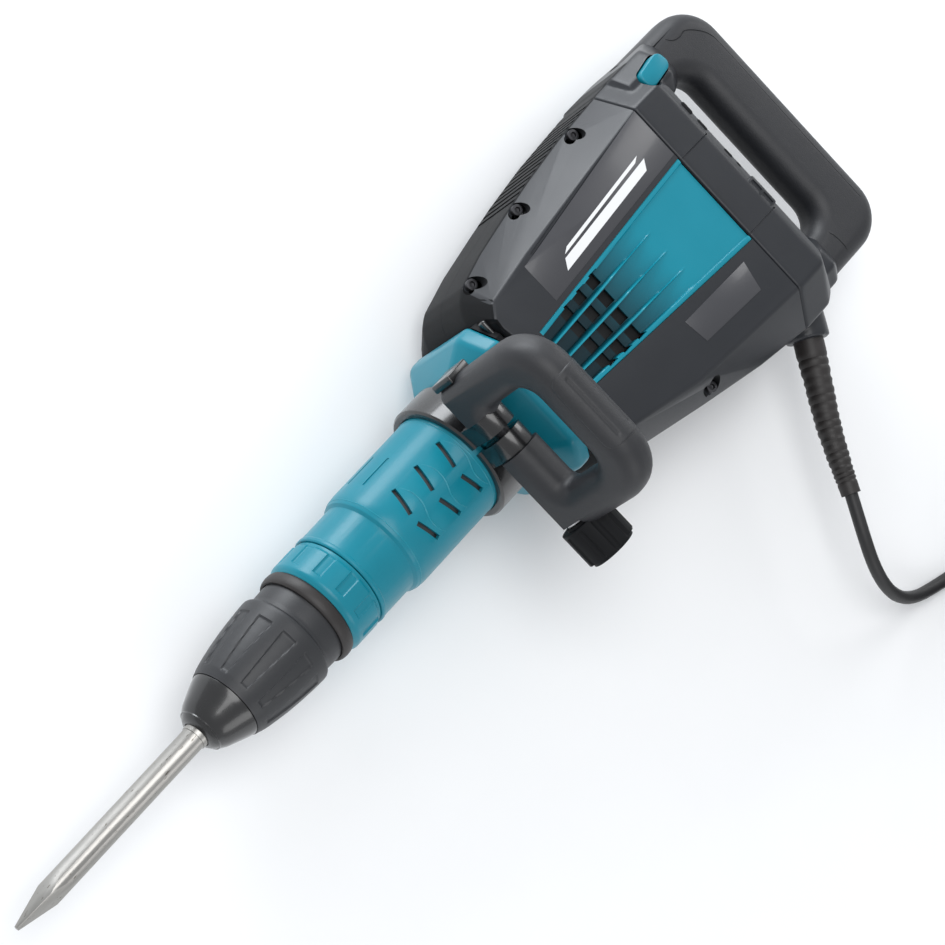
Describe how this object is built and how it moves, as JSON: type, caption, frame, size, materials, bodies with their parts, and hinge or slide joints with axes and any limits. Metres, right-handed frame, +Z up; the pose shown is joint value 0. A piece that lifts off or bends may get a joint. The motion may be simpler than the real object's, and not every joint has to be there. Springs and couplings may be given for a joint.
{
  "type": "demolition hammer",
  "caption": "Heavy electric demolition hammer lying on its side: in-line housing with D-shaped rear handle, swivelling loop side handle, bull-point chisel and free power cord.",
  "frame": {"origin": "centre of the tool's bounding box without its free cord, on the ground the tool lies on", "axes": "+X from the chisel's point to the rear handle, along the tool; +Y from the cord side to the opposite face of the housing; +Z up, out of the side that faces the viewer"},
  "size_m": [0.891, 0.5884, 0.2126],
  "materials": {
    "chisel_steel": "forged and brushed, lightly worn",
    "black_rubber": "moulded, low sheen",
    "release_rubber": "satin moulded rubber with recessed panels",
    "grip_rubber": "soft grip, matte",
    "cord_rubber": "heavy rubber cord jacket",
    "dark_plastic": "glass-filled nylon, fine grain",
    "teal_plastic": "glass-filled nylon in teal, satin",
    "black_gloss": "black, glossy",
    "lamp_lens": "two smooth lenses, unlit",
    "machined_steel": "turned or ground steel",
    "dark_steel": "phosphated steel",
    "spring_steel": "drawn wire",
    "aluminium": "die cast and machined",
    "laminations": "stack of thin steel sheets",
    "copper": "copper bars and enamelled windings",
    "carbon": "pressed carbon",
    "pin_brass": "nickel-free brass pins"
  },
  "bodies": {
    "hammer": {"cylinder": "machined_steel", "barrel": "aluminium", "barrel_cover": "dark_plastic", "crank_case": "teal_plastic", "gear_plate": "aluminium", "ball_bearings": "machined_steel", "stator": "laminations", "field_coils": "copper", "carbon_brushes": "carbon", "brush_holders": "copper", "housing_left": "dark_plastic", "housing_right": "dark_plastic", "side_panel_left": "teal_plastic", "side_panel_right": "teal_plastic", "rear_cover": "dark_plastic", "handle_left": "dark_plastic", "handle_right": "dark_plastic", "handle_grip": "grip_rubber", "switch_body": "black_gloss", "controller": "black_gloss", "indicator_lamps": "lamp_lens", "housing_screws": "dark_steel", "counterweight_springs": "spring_steel", "cord_guard": "black_rubber", "cord_clamp": "black_gloss", "cord_tube": "cord_rubber", "cord_coil": "cord_rubber", "plug_body": "black_rubber", "plug_pins": "pin_brass"},
    "holder": {"tool_holder": "dark_steel", "nose_cap": "black_rubber", "release_spring": "spring_steel"},
    "chisel": {"chisel": "chisel_steel"},
    "release": {"release_cover": "release_rubber", "lock_cone": "dark_steel"},
    "retainer_upper": {"retainer_upper": "machined_steel"},
    "retainer_lower": {"retainer_lower": "machined_steel"},
    "ring": {"change_ring": "dark_plastic", "rim_ring": "black_rubber"},
    "impact_bolt": {"impact_bolt": "machined_steel"},
    "striker": {"striker": "machined_steel"},
    "piston": {"piston": "aluminium", "piston_pin": "machined_steel", "connecting_rod": "dark_steel"},
    "crank": {"crankshaft": "machined_steel", "crank_gear": "machined_steel"},
    "idler": {"idler_gear": "machined_steel"},
    "armature": {"armature_shaft": "machined_steel", "armature_core": "laminations", "commutator": "copper", "fan": "dark_plastic"},
    "counterweight": {"counterweight": "dark_steel"},
    "clamp": {"clamp_band": "black_gloss", "clamp_bolt": "machined_steel", "clamp_washer": "machined_steel"},
    "side_handle": {"side_grip": "grip_rubber", "side_grip_pad": "grip_rubber"},
    "knob": {"clamp_knob": "dark_plastic"},
    "switch": {"switch_lever": "teal_plastic"},
    "dial": {"speed_dial": "dark_plastic"}
  },
  "joints": [
    {"name": "bit_angle", "type": "hinge", "parent": "hammer", "child": "holder", "pos_m": [-0.088, 0.0158, 0.06], "axis": [1, 0, 0], "continuous": true},
    {"name": "bit_float", "type": "slide", "parent": "holder", "child": "chisel", "axis": [-1, 0, 0], "range_m": [0, 0.012]},
    {"name": "impact_bolt_slide", "type": "slide", "parent": "hammer", "child": "impact_bolt", "axis": [-1, 0, 0], "range_m": [0, 0.0085]},
    {"name": "release_slide", "type": "slide", "parent": "holder", "child": "release", "axis": [1, 0, 0], "range_m": [0, 0.01], "stiffness_N_per_m": 2000, "deforming": ["release_spring"]},
    {"name": "retainer_upper_slide", "type": "slide", "parent": "holder", "child": "retainer_upper", "axis": [0, 1, 0], "range_m": [0, 0.003]},
    {"name": "retainer_lower_slide", "type": "slide", "parent": "holder", "child": "retainer_lower", "axis": [0, -1, 0], "range_m": [0, 0.003]},
    {"name": "change_ring_slide", "type": "slide", "parent": "hammer", "child": "ring", "axis": [-1, 0, 0], "range_m": [0, 0.0045]},
    {"name": "striker_slide", "type": "slide", "parent": "hammer", "child": "striker", "axis": [1, 0, 0], "range_m": [0, 0.02]},
    {"name": "piston_slide", "type": "slide", "parent": "hammer", "child": "piston", "axis": [1, 0, 0], "range_m": [0, 0.03]},
    {"name": "armature_spin", "type": "hinge", "parent": "hammer", "child": "armature", "pos_m": [0.19, 0.0158, 0.06], "axis": [0, 1, 0], "continuous": true},
    {"name": "idler_spin", "type": "hinge", "parent": "hammer", "child": "idler", "pos_m": [0.133, 0.0158, 0.06], "axis": [0, 1, 0], "continuous": true},
    {"name": "crank_spin", "type": "hinge", "parent": "hammer", "child": "crank", "pos_m": [0.088, 0.0158, 0.06], "axis": [0, 1, 0], "continuous": true},
    {"name": "counterweight_slide", "type": "slide", "parent": "hammer", "child": "counterweight", "axis": [1, 0, 0], "range_m": [-0.008, 0.008], "stiffness_N_per_m": 10000, "deforming": ["counterweight_springs"]},
    {"name": "side_handle_swivel", "type": "hinge", "parent": "hammer", "child": "clamp", "pos_m": [0.03, 0.0158, 0.06], "axis": [1, 0, 0], "continuous": true},
    {"name": "side_handle_swing", "type": "hinge", "parent": "clamp", "child": "side_handle", "pos_m": [0.031, 0.0158, 0.123], "axis": [0, 1, 0], "range_deg": [-90, 45]},
    {"name": "knob_turn", "type": "hinge", "parent": "clamp", "child": "knob", "pos_m": [0.031, 0.0158, 0.123], "axis": [0, 1, 0], "range_deg": [0, 720]},
    {"name": "switch_slide", "type": "slide", "parent": "hammer", "child": "switch", "axis": [0, 0, -1], "range_m": [0, 0.006]},
    {"name": "dial_turn", "type": "hinge", "parent": "hammer", "child": "dial", "pos_m": [0.302, 0.0238, 0.098], "axis": [0, 0, 1], "range_deg": [0, 300]}
  ],
  "couplings": [
    {"joint": "impact_bolt_slide", "follows": "bit_float", "ratio": 0.7},
    {"joint": "retainer_upper_slide", "follows": "release_slide", "ratio": 0.3},
    {"joint": "retainer_lower_slide", "follows": "release_slide", "ratio": 0.3},
    {"joint": "idler_spin", "follows": "armature_spin", "ratio": -0.26667},
    {"joint": "crank_spin", "follows": "armature_spin", "ratio": 0.13333}
  ]
}
